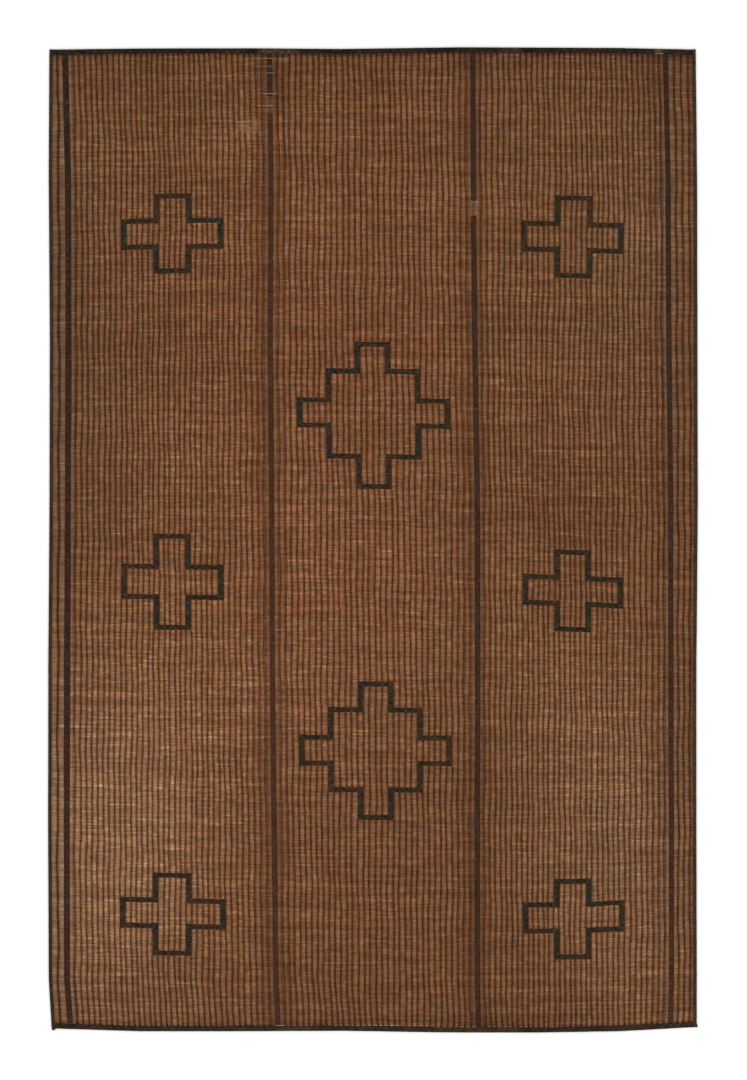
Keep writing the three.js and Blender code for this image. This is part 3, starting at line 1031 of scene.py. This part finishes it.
def lay_strip(parts, xs, ys, section, unevenness, random, rise=0.0, wear=0.0):
    """A closed crowned strip up the mat, with a hand-cut edge."""
    count = len(ys)
    size = len(section)
    walk = np.cumsum(random.rand(count, 2) - 0.5, 0)
    cut = unevenness * np.sin(walk * 0.9 + random.rand(2) * 6)
    height = STRIP_PUFF * np.sin(np.cumsum(random.rand(count)) * 1.3)
    reach = max(place for place, _, _ in section)
    rings = np.zeros((count, size, 3))
    for k, (place, z, rim) in enumerate(section):
        side = cut[:, 0 if place < 0 else 1] * abs(place) / reach
        rings[:, k, 0] = xs + place + side
        rings[:, k, 1] = ys
        rings[:, k, 2] = z + rise + height * (1 - rim)
    points, faces = loft(rings)
    rims = np.tile([rim for _, _, rim in section], count)
    worn = np.repeat(np.broadcast_to(wear, (count,)), size)
    parts.add(points, faces, rim=rims, wear=worn)


class MAT_OT_bands(bpy.types.Operator):
    """Lays the wide leather bands along the mat"""

    bl_idname = "mat.bands"
    bl_label = "Bands"

    def execute(self, context):
        settings = settings_of(context)
        tints = [srgb(34, 27, 19), srgb(42, 27, 23), srgb(38, 34, 29)]
        material = leather_finish("wide_band", settings.band_colour, 0.55, tints)
        random = np.random.RandomState(SEED + 200)
        for name, (line, width, low, high, *wear) in BANDS.items():
            foot = low
            head = high
            if low is None:
                foot = end_y("bottom", LINES[line][0]) + FOLDS["bottom"] + BAND_MARGIN
            if high is None:
                head = end_y("top", LINES[line][-1]) - FOLDS["top"] - BAND_MARGIN
            ys = np.linspace(foot, head, max(4, int((head - foot) / BAND_STEP)))
            xs = line_x(line, ys)
            parts = Parts()
            section = crowned_section(width, BAND_FOOT, BAND_CROWN)
            worn = np.linspace(*wear, len(ys))
            rise = rise_at(xs, ys)
            lay_strip(parts, xs, ys, section, BAND_UNEVENNESS, random, rise, worn)
            piece = parts.piece(f"leather_{name}", material)
            settle(piece, "band_leather", name)
        return {"FINISHED"}


def arch(x, y, tilt, width, length, foot, crown):
    """A small stitch that arches over what lies under it, along y."""
    half = width / 2
    rows = [(-0.5, 0.0), (-0.4, 0.75), (0.0, 1.0), (0.4, 0.75), (0.5, 0.0)]
    columns = [(-half, 0.55), (0.0, 1.0), (half, 0.55)]
    points = []
    rims = []
    for share, height in rows:
        for place, bulge in columns:
            z = foot + (crown - foot) * height * bulge
            points.append((x + place + tilt * share * length, y + share * length, z))
            rims.append(1.0 if share in (-0.5, 0.5) else 0.0)
    return points, grid_faces(len(rows), len(columns)), rims


class MAT_OT_motifs(bpy.types.Operator):
    """Sews the outlined crosses: leather strips for uprights and stitches for crossbars"""

    bl_idname = "mat.motifs"
    bl_label = "Outlined crosses"

    def execute(self, context):
        settings = settings_of(context)
        colour = settings.motif_colour
        material = leather_finish("motif_strip", colour, 0.5, STROKE_TINTS, contrast=2.5)
        random = np.random.RandomState(SEED + 300)
        width = settings.upright_width / MM
        pitch = settings.stitch_spacing / MM
        for name, (panel, first, step, levels) in MOTIFS.items():
            parts = Parts()
            uprights, crossbars = motif_strokes(len(levels))
            for number, high, low in uprights:
                thong = first + step * number
                ends = (levels[low] - UPRIGHT_OVERLAP, levels[high] + UPRIGHT_OVERLAP)
                self.upright(parts, panel, thong, ends, width, random)
            for level, start, end in crossbars:
                thongs = (first + step * start, first + step * end)
                self.crossbar(parts, panel, thongs, levels[level], width, pitch, random)
            piece = parts.piece(f"leather_{name}", material)
            settle(piece, "motif_leather", name)
        return {"FINISHED"}

    def upright(self, parts, panel, thong, ends, width, random):
        count = max(6, int((ends[1] - ends[0]) / UPRIGHT_STEP))
        level = np.linspace(ends[0], ends[1], count)
        xs = pair_x(panel, thong, level)
        ys = level + reed_drift(xs, level)
        xs = pair_x(panel, thong, ys)
        section = crowned_section(width, BAND_FOOT, STROKE_CROWN)
        ridge = UPRIGHT_RIDGE * (np.cos(np.arange(count) * np.pi) - 1)
        lay_strip(parts, xs, ys, section, UPRIGHT_UNEVENNESS, random, ridge)

    def crossbar(self, parts, panel, thongs, level, width, pitch, random):
        start = pair_x(panel, thongs[0], level) + width / 2 - CROSSBAR_TUCK
        end = pair_x(panel, thongs[1], level) - width / 2 + CROSSBAR_TUCK
        xs = np.linspace(start, end, CROSSBAR_POINTS)
        ys = level + reed_drift(xs, level)
        half = CROSSBAR_HEIGHT / 2 - UNDERLAY_INSET
        section = [
            (-half, BAND_FOOT),
            (-half, UNDERLAY_TOP),
            (half, UNDERLAY_TOP),
            (half, BAND_FOOT),
        ]
        rings = [[(x, y + offset, z) for offset, z in section] for x, y in zip(xs, ys, strict=True)]
        points, faces = loft(rings)
        parts.add(points, faces, rim=0.0, wear=0.0)
        count = max(4, int(round((end - start) / pitch)))
        for x in start + (end - start) * (np.arange(count) + 0.5) / count:
            y = level + reed_drift(x, level) + 0.5 * (random.rand() - 0.5)
            tilt = 0.08 * (random.rand() - 0.5)
            length = CROSSBAR_HEIGHT + 0.6 * (random.rand() - 0.5)
            crown = STROKE_CROWN - 0.25 * random.rand()
            points, faces, rims = arch(
                x, y, tilt, pitch * STITCH_FILL, length, STITCH_FOOT, crown
            )
            parts.add(points, faces, rim=rims, wear=0.0)


WEAR_FADE = 15
# Stretches of the bindings that are rubbed brown: from, to and how much, along the edge
WORN_BINDING = {
    "top": [(-335, -205, 0.5), (800, 835, 0.9), (365, 430, 0.3)],
    "bottom": [(-930, 930, 0.2), (-280, -160, 0.45), (160, 430, 0.4)],
    "left": [(-1500, 1500, 0.32), (-500, -200, 0.45)],
    "right": [(-1500, 1500, 0.4), (-900, -300, 0.55)],
}
# Corners: how far the left binding hangs below its corner, and the right one flares out there
CORNER_DROP = 4
CORNER_FLARE = 3
FLARE_HEIGHT = 9
CORNER_GAP = 0.02
# Near its ends a binding's inner edge runs straight, then it wavers
STRAIGHT_END = 18
WAVER_START = 20
SIDE_STEPS = 340
END_STEPS = 230
# A binding's section: the share of the way from its outer to its inner edge, height and rim
FOLD_SHAPE = [
    (1.0, 0.0, 1.0),
    (1.0, LEATHER - 0.1, 1.0),
    (0.22, LEATHER - 0.1, 0.0),
    (0.13, 2.2, 0.0),
    (0.22, BINDING_HEIGHT - LEATHER + 0.1, 0.0),
    (1.0, BINDING_HEIGHT - LEATHER + 0.05, 1.0),
    (1.01, BINDING_HEIGHT - 0.35, 1.0),
    (0.9, BINDING_HEIGHT - 0.02, 0.7),
    (0.5, BINDING_HEIGHT, 0.0),
    (0.17, BINDING_HEIGHT - 0.1, 0.2),
    (0.04, BINDING_HEIGHT - 0.9, 0.7),
    (0.0, BINDING_HEIGHT / 2, 0.7),
    (0.04, 0.9, 0.3),
    (0.14, 0.0, 0.0),
]


class MAT_OT_bindings(bpy.types.Operator):
    """Folds the leather bindings round the four edges"""

    bl_idname = "mat.bindings"
    bl_label = "Bindings"

    def execute(self, context):
        settings = settings_of(context)
        tints = [srgb(29, 30, 19), srgb(25, 25, 21), srgb(38, 29, 21)]
        colour = settings.binding_colour
        material = leather_finish("folded_binding", colour, 0.25, tints, WORN_EDGE)
        random = np.random.RandomState(SEED + 400)
        for side in ("left", "right", "top", "bottom"):
            parts = Parts()
            self.fold(parts, side, random)
            piece = parts.piece(f"edging_{side}", material)
            settle(piece, "binding_leather", f"binding_{side}")
        return {"FINISHED"}

    def run(self, side):
        """Places along an edge and across it, which way is inwards, and the corner's flare."""
        if side in ("top", "bottom"):
            row = -1 if side == "top" else 0
            gap = FOLDS["side"] + CORNER_GAP
            low = LINES["left_edge"][row] + gap
            high = LINES["right_edge"][row] - gap
            along = np.linspace(low, high, END_STEPS)
            return along, end_y(side, along), -1 if side == "top" else 1, 0
        line = f"{side}_edge"
        foot = end_y("bottom", LINES[line][0])
        head = end_y("top", LINES[line][-1])
        low = foot - CORNER_DROP if side == "left" else foot
        along = np.append(low, np.linspace(low + 3, head, SIDE_STEPS))
        if side == "left":
            return along, line_x(line, along), 1, 0
        flare = CORNER_FLARE * smooth((foot + FLARE_HEIGHT - along) / FLARE_HEIGHT)
        return along, line_x(line, along), -1, flare

    def fold(self, parts, side, random):
        """One binding, folded round its edge, with an uneven inner edge."""
        along, edge, inward, flare = self.run(side)
        width = FOLDS.get(side, FOLDS["side"])
        count = len(along)
        step = np.cumsum(random.rand(count) - 0.5)
        wave = 0.7 * np.sin(step * 0.8) + 0.4 * np.sin(np.arange(count) * 0.9)
        from_end = np.minimum(along - along[0], along[-1] - along)
        free = smooth((from_end - STRAIGHT_END) / WAVER_START)
        inner = width + (np.clip(wave, -0.9, 0.5) - 0.5) * free
        outer = 0.25 + 0.25 * np.sin(step * 0.6)
        puff = 0.12 * np.sin(step + 1.0)
        rings = np.zeros((count, len(FOLD_SHAPE), 3))
        for k, (share, z, rim) in enumerate(FOLD_SHAPE):
            distance = outer + (inner - outer) * share
            raised = puff * (z > BINDING_HEIGHT / 2) * (1 - rim)
            if side in ("left", "right"):
                rings[:, k, 0] = edge + inward * distance + flare * (1 - share)
                rings[:, k, 1] = along
            else:
                rings[:, k, 0] = along
                rings[:, k, 1] = edge + inward * distance
            rings[:, k, 2] = np.clip(z + raised, 0, BINDING_HEIGHT + 0.1)
        points, faces = loft(rings)
        if side in ("top", "right"):
            faces = [face[::-1] for face in faces]
        wear = np.zeros(count)
        for low_end, high_end, amount in WORN_BINDING[side]:
            wear = np.maximum(wear, amount * stretch(along, low_end, high_end, WEAR_FADE))
        rims = np.tile([rim for _, _, rim in FOLD_SHAPE], count)
        parts.add(points, faces, rim=rims, wear=np.repeat(wear, len(FOLD_SHAPE)))


# An edge stitch: its least half width and length, and the most that chance adds to each
STITCH_HALF_WIDTH = (1.5, 0.5)
STITCH_REACH = (2.6, 1.6)
STITCH_EDGE_DROP = 0.2


class MAT_OT_stitches(bpy.types.Operator):
    """Whips the top and bottom bindings down with short leather stitches"""

    bl_idname = "mat.stitches"
    bl_label = "Edge stitches"

    def execute(self, context):
        settings = settings_of(context)
        material = shared("narrow_thong", lambda: thong_finish(settings))
        random = np.random.RandomState(SEED + 500)
        parts = Parts()
        warps = [warp for warp in range(1, LAST_WARP) if warp not in LINE_WARPS]
        for side, inward in (("top", -1), ("bottom", 1)):
            for warp in warps:
                x = float(warp_x(warp, end_y(side, 0))) + random.rand() - 0.5
                y = float(end_y(side, x)) + inward * (FOLDS[side] + 0.4)
                self.stitch(parts, x, y, -inward, random, warp)
        settle(parts.piece("edge_stitches", material), "thong_leather")
        return {"FINISHED"}

    def stitch(self, parts, x, y, outward, random, warp):
        """A strap from the weave up onto the binding, outward from its inner edge."""
        half = STITCH_HALF_WIDTH[0] + STITCH_HALF_WIDTH[1] * random.rand()
        reach = STITCH_REACH[0] + STITCH_REACH[1] * random.rand()
        rows = [(-4.0, 2.9), (-1.0, 4.6), (0.0, 5.62), (0.6 * reach, 5.72), (reach, 5.5)]
        points = []
        for distance, z in rows:
            for place, drop in ((-half, STITCH_EDGE_DROP), (0.0, 0.0), (half, STITCH_EDGE_DROP)):
                points.append((x + place, y + outward * distance, z - drop))
        faces = grid_faces(len(rows), 3, flip=outward < 0)
        weave = np.tile([warp, y / 5], (len(points), 1))
        parts.add(points, faces, weave, dye=0.5 + 0.5 * random.rand(), fade=1.0)


# Pale reeds that catch the light: height on the mat, from and to across it, and half thickness
PALE_REEDS = [
    (1375, -345, -236, 0.7),
    (1370, -286, -238, 0.6),
    (1352.5, -352, -275, 0.45),
    (1333, -360, -280, 0.6),
    (1274, -326, -268, 0.8),
    (1239.5, -330, -285, 1.0),
    (1193.5, -392, -350, 0.9),
    (1193, -346, -322, 0.5),
    (1167, -400, -358, 0.5),
    (1161, -400, -358, 0.6),
    (1161, -354, -318, 0.6),
    (928, -60, -20, 0.7),
    (750, -603, -545, 0.8),
    (711, -444, -381, 0.6),
    (699, -700, -664, 0.7),
    (632, -489, -452, 0.6),
    (938, 463, 471, 2.6),
    (912, 640, 690, 0.7),
    (889, 730, 800, 0.6),
    (868, 660, 700, 0.6),
    (-1386, -277, -172, 1.0),
    (-1386, -124, 84, 1.8),
    (-1387.5, 88, 168, 0.9),
    (-1389.5, 172, 300, 1.0),
    (-1389.5, 322, 414, 0.9),
    (-1390, 418, 540, 1.3),
    (1385, 364, 420, 0.8),
    (1388, 806, 829, 1.0),
    (1396, -316, -310, 0.7),
    (1393, -300, -293, 0.5),
    (1398, -283, -279, 0.6),
    (1391, -262, -257, 0.6),
    (1397, -243, -239, 0.5),
    (1397, 812, 817, 0.6),
]
PALE_HEIGHT = 2.4
PALE_FLATNESS = 0.55
PALE_TAPER = 0.6
PALE_STEP = 6
PALE_SIDES = 6
# How pale reeds rise over the torn band: by how much, over what half width, and how steeply
ARCH_RISE = 2.3
ARCH_WIDTH = 12
ARCH_STEEPNESS = 1.6
# How far pale reeds on the top binding are sunk in it
PALE_SINK = 0.2


class MAT_OT_pale_reeds(bpy.types.Operator):
    """Lays the few pale reeds that stand out of the weave"""

    bl_idname = "mat.pale_reeds"
    bl_label = "Pale reeds"

    def execute(self, context):
        material = shared("pale_reed", pale_finish)
        parts = Parts()
        for level, start, end, thickness in PALE_REEDS:
            self.reed(parts, level, start, end, thickness)
        piece = parts.piece("pale_reeds", material)
        settle(piece, "reed_weave")
        return {"FINISHED"}

    def reed(self, parts, y, start, end, thickness):
        xs = np.linspace(start, end, max(4, int((end - start) / PALE_STEP)))
        xs = np.sort(np.concatenate([xs, [start + PALE_TAPER, end - PALE_TAPER]]))
        taper = np.sqrt(np.clip(np.minimum(xs - start, end - xs) / PALE_TAPER, 0.1, 1))
        slope = reed_drift(xs, y) - reed_drift(start, y)
        angles = 2 * np.pi * np.arange(PALE_SIDES) / PALE_SIDES
        rings = []
        for x, dy, size in zip(xs, slope, taper, strict=True):
            height = self.height(x, y)
            ring = [np.full(PALE_SIDES, x), y + dy + thickness * size * np.cos(angles)]
            ring.append(height + PALE_FLATNESS * size * np.sin(angles))
            rings.append(np.stack(ring, 1))
        points, faces = loft(rings)
        parts.add(points, faces)

    def height(self, x, y):
        """The middle of a pale reed: in the weave, over the torn band or on the top binding."""
        if end_y("top", x) - y < FOLDS["top"]:
            return BINDING_HEIGHT - PALE_SINK
        band = math.exp(-(((x - line_x("band_inner_left", y)) / ARCH_WIDTH) ** 2))
        arch_height = ARCH_RISE * min(1.0, ARCH_STEEPNESS * band)
        return PALE_HEIGHT + float(rise_at(x, y)) * 0.95 + arch_height


# The stage, in metres
FLOOR_REACH = 40.0
FLOOR_LEVEL = -0.0004
CAMERA_HEIGHT = 12.0
VIEW_LENGTH = 3.0834
CAMERA_PLACE = (0.0017, -0.0003, CAMERA_HEIGHT + 0.003)
WINDOW_STRENGTH = 0.5
WINDOW_SPREAD = 40
WINDOW_TURN = (38, -24)


class MAT_OT_stage(bpy.types.Operator):
    """Sets the pale floor, the soft light and the camera above the mat"""

    bl_idname = "mat.stage"
    bl_label = "Floor, light and camera"

    def execute(self, context):
        scene = context.scene
        scene.view_settings.view_transform = "Standard"
        self.floor()
        self.light(scene)
        self.camera(scene)
        return {"FINISHED"}

    def floor(self):
        finish = Finish("floor_paper")
        cloud = finish.noise(finish.place(), scale=0.6, detail=2.0)
        paper = finish.mix(srgb(250, 250, 250), srgb(255, 255, 255), cloud)
        material = finish.done(paper, 0.9, shine=0.0)
        mesh = bpy.data.meshes.new("floor")
        corners = [(-1, -1), (1, -1), (1, 1), (-1, 1)]
        points = [(x * FLOOR_REACH, y * FLOOR_REACH, FLOOR_LEVEL) for x, y in corners]
        mesh.from_pydata(points, [], [(0, 1, 2, 3)])
        mesh.materials.append(material)
        floor = bpy.data.objects.new("floor", mesh)
        bpy.context.scene.collection.objects.link(floor)

    def light(self, scene):
        world = bpy.data.worlds.new("studio")
        world.use_nodes = True
        scene.world = world
        sky = world.node_tree.nodes["Background"]
        sky.inputs["Color"].default_value = (1.0, 1.0, 1.0, 1.0)
        sky.inputs["Strength"].default_value = 1.0
        lamp = bpy.data.lights.new("window", "SUN")
        lamp.energy = WINDOW_STRENGTH
        lamp.angle = math.radians(WINDOW_SPREAD)
        holder = bpy.data.objects.new("window", lamp)
        holder.rotation_euler = (*(math.radians(turn) for turn in WINDOW_TURN), 0.0)
        scene.collection.objects.link(holder)

    def camera(self, scene):
        data = bpy.data.cameras.new("camera")
        data.sensor_width = 36.0
        data.lens = data.sensor_width * CAMERA_HEIGHT / VIEW_LENGTH
        data.clip_end = 100.0
        camera = bpy.data.objects.new("camera", data)
        camera.location = CAMERA_PLACE
        camera.rotation_euler = (0.0, 0.0, 0.0)
        scene.collection.objects.link(camera)
        scene.camera = camera


class MAT_OT_cloth(bpy.types.Operator):
    bl_idname = "mat.cloth"
    bl_label = "Declare sheets"

    def execute(self, context):
        for name, span in SHEETS.items():
            width = float(warp_x(span["to"], 0) - warp_x(span["from"], 0)) * MM
        return {"FINISHED"}


OPERATORS = (
    MAT_OT_stage,
    MAT_OT_reeds,
    MAT_OT_thongs,
    MAT_OT_bands,
    MAT_OT_motifs,
    MAT_OT_bindings,
    MAT_OT_stitches,
    MAT_OT_pale_reeds,
    MAT_OT_cloth,
)


class MAT_PT_panel(bpy.types.Panel):
    """Lists the mat's sizes, colours and the steps that build it"""

    bl_idname = "MAT_PT_panel"
    bl_label = "Woven mat"
    bl_space_type = "VIEW_3D"
    bl_region_type = "UI"
    bl_category = "Mat"

    def draw(self, context):
        column = self.layout.column()
        settings = settings_of(context)
        for name in MatSettings.__annotations__:
            column.prop(settings, name)
        for operator in OPERATORS:
            column.operator(operator.bl_idname)


CLASSES = (MatSettings, *OPERATORS, MAT_PT_panel)


def register():
    for cls in CLASSES:
        bpy.utils.register_class(cls)
    bpy.types.Scene.mat_settings = bpy.props.PointerProperty(type=MatSettings)


def unregister():
    del bpy.types.Scene.mat_settings
    for cls in reversed(CLASSES):
        bpy.utils.unregister_class(cls)


def main():
    register()
    for operator in OPERATORS:
        group, name = operator.bl_idname.split(".")
        getattr(getattr(bpy.ops, group), name)()
    bpy.context.view_layer.update()


if __name__ == "__main__":
    main()
